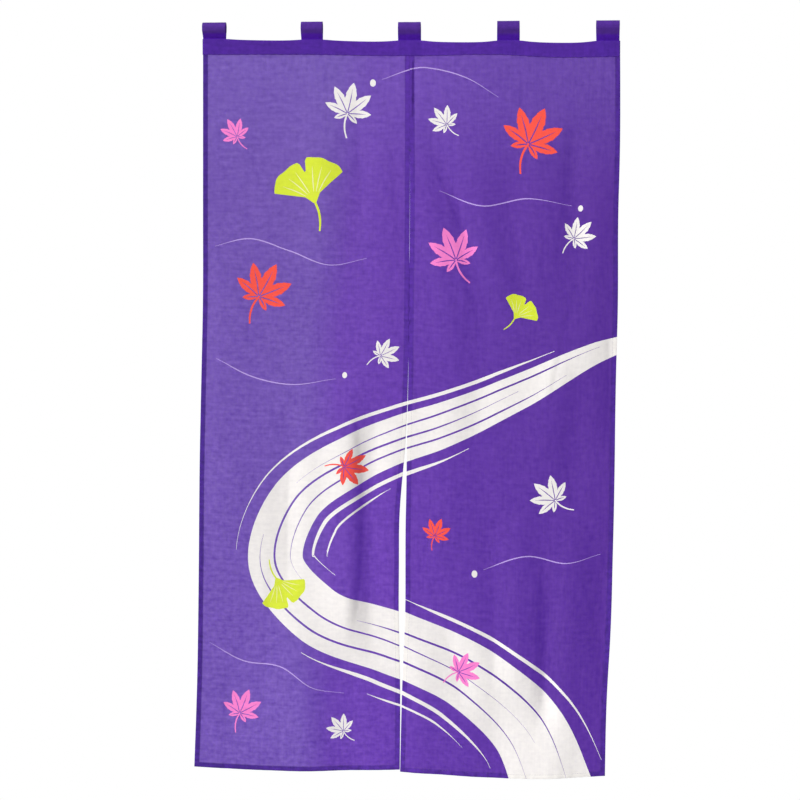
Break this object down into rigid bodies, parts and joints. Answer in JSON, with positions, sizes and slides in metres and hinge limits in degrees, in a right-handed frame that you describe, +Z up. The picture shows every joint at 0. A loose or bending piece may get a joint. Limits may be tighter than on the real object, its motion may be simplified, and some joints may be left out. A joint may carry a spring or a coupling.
{
  "type": "noren curtain",
  "caption": "Split doorway curtain of thin purple cloth, sewn under one header band, hung by cloth loops on a rod.",
  "frame": {"origin": "on the axis of the rod that the loops fit, at the middle of the curtain's width", "axes": "+Z up; +X to the right as seen from the face; -Y the way the face looks"},
  "size_m": [0.8763, 0.024, 1.5551],
  "materials": {
    "panel_cloth": "thin slub plain weave, matt",
    "band_cloth": "the same cloth, doubled, matt",
    "loop_cloth": "the same cloth, doubled, matt"
  },
  "bodies": {
    "root": {"panel_left": "panel_cloth", "panel_right": "panel_cloth", "header_band": "band_cloth", "loop_1": "loop_cloth", "loop_2": "loop_cloth", "loop_3": "loop_cloth", "loop_4": "loop_cloth", "loop_5": "loop_cloth"}
  },
  "joints": []
}
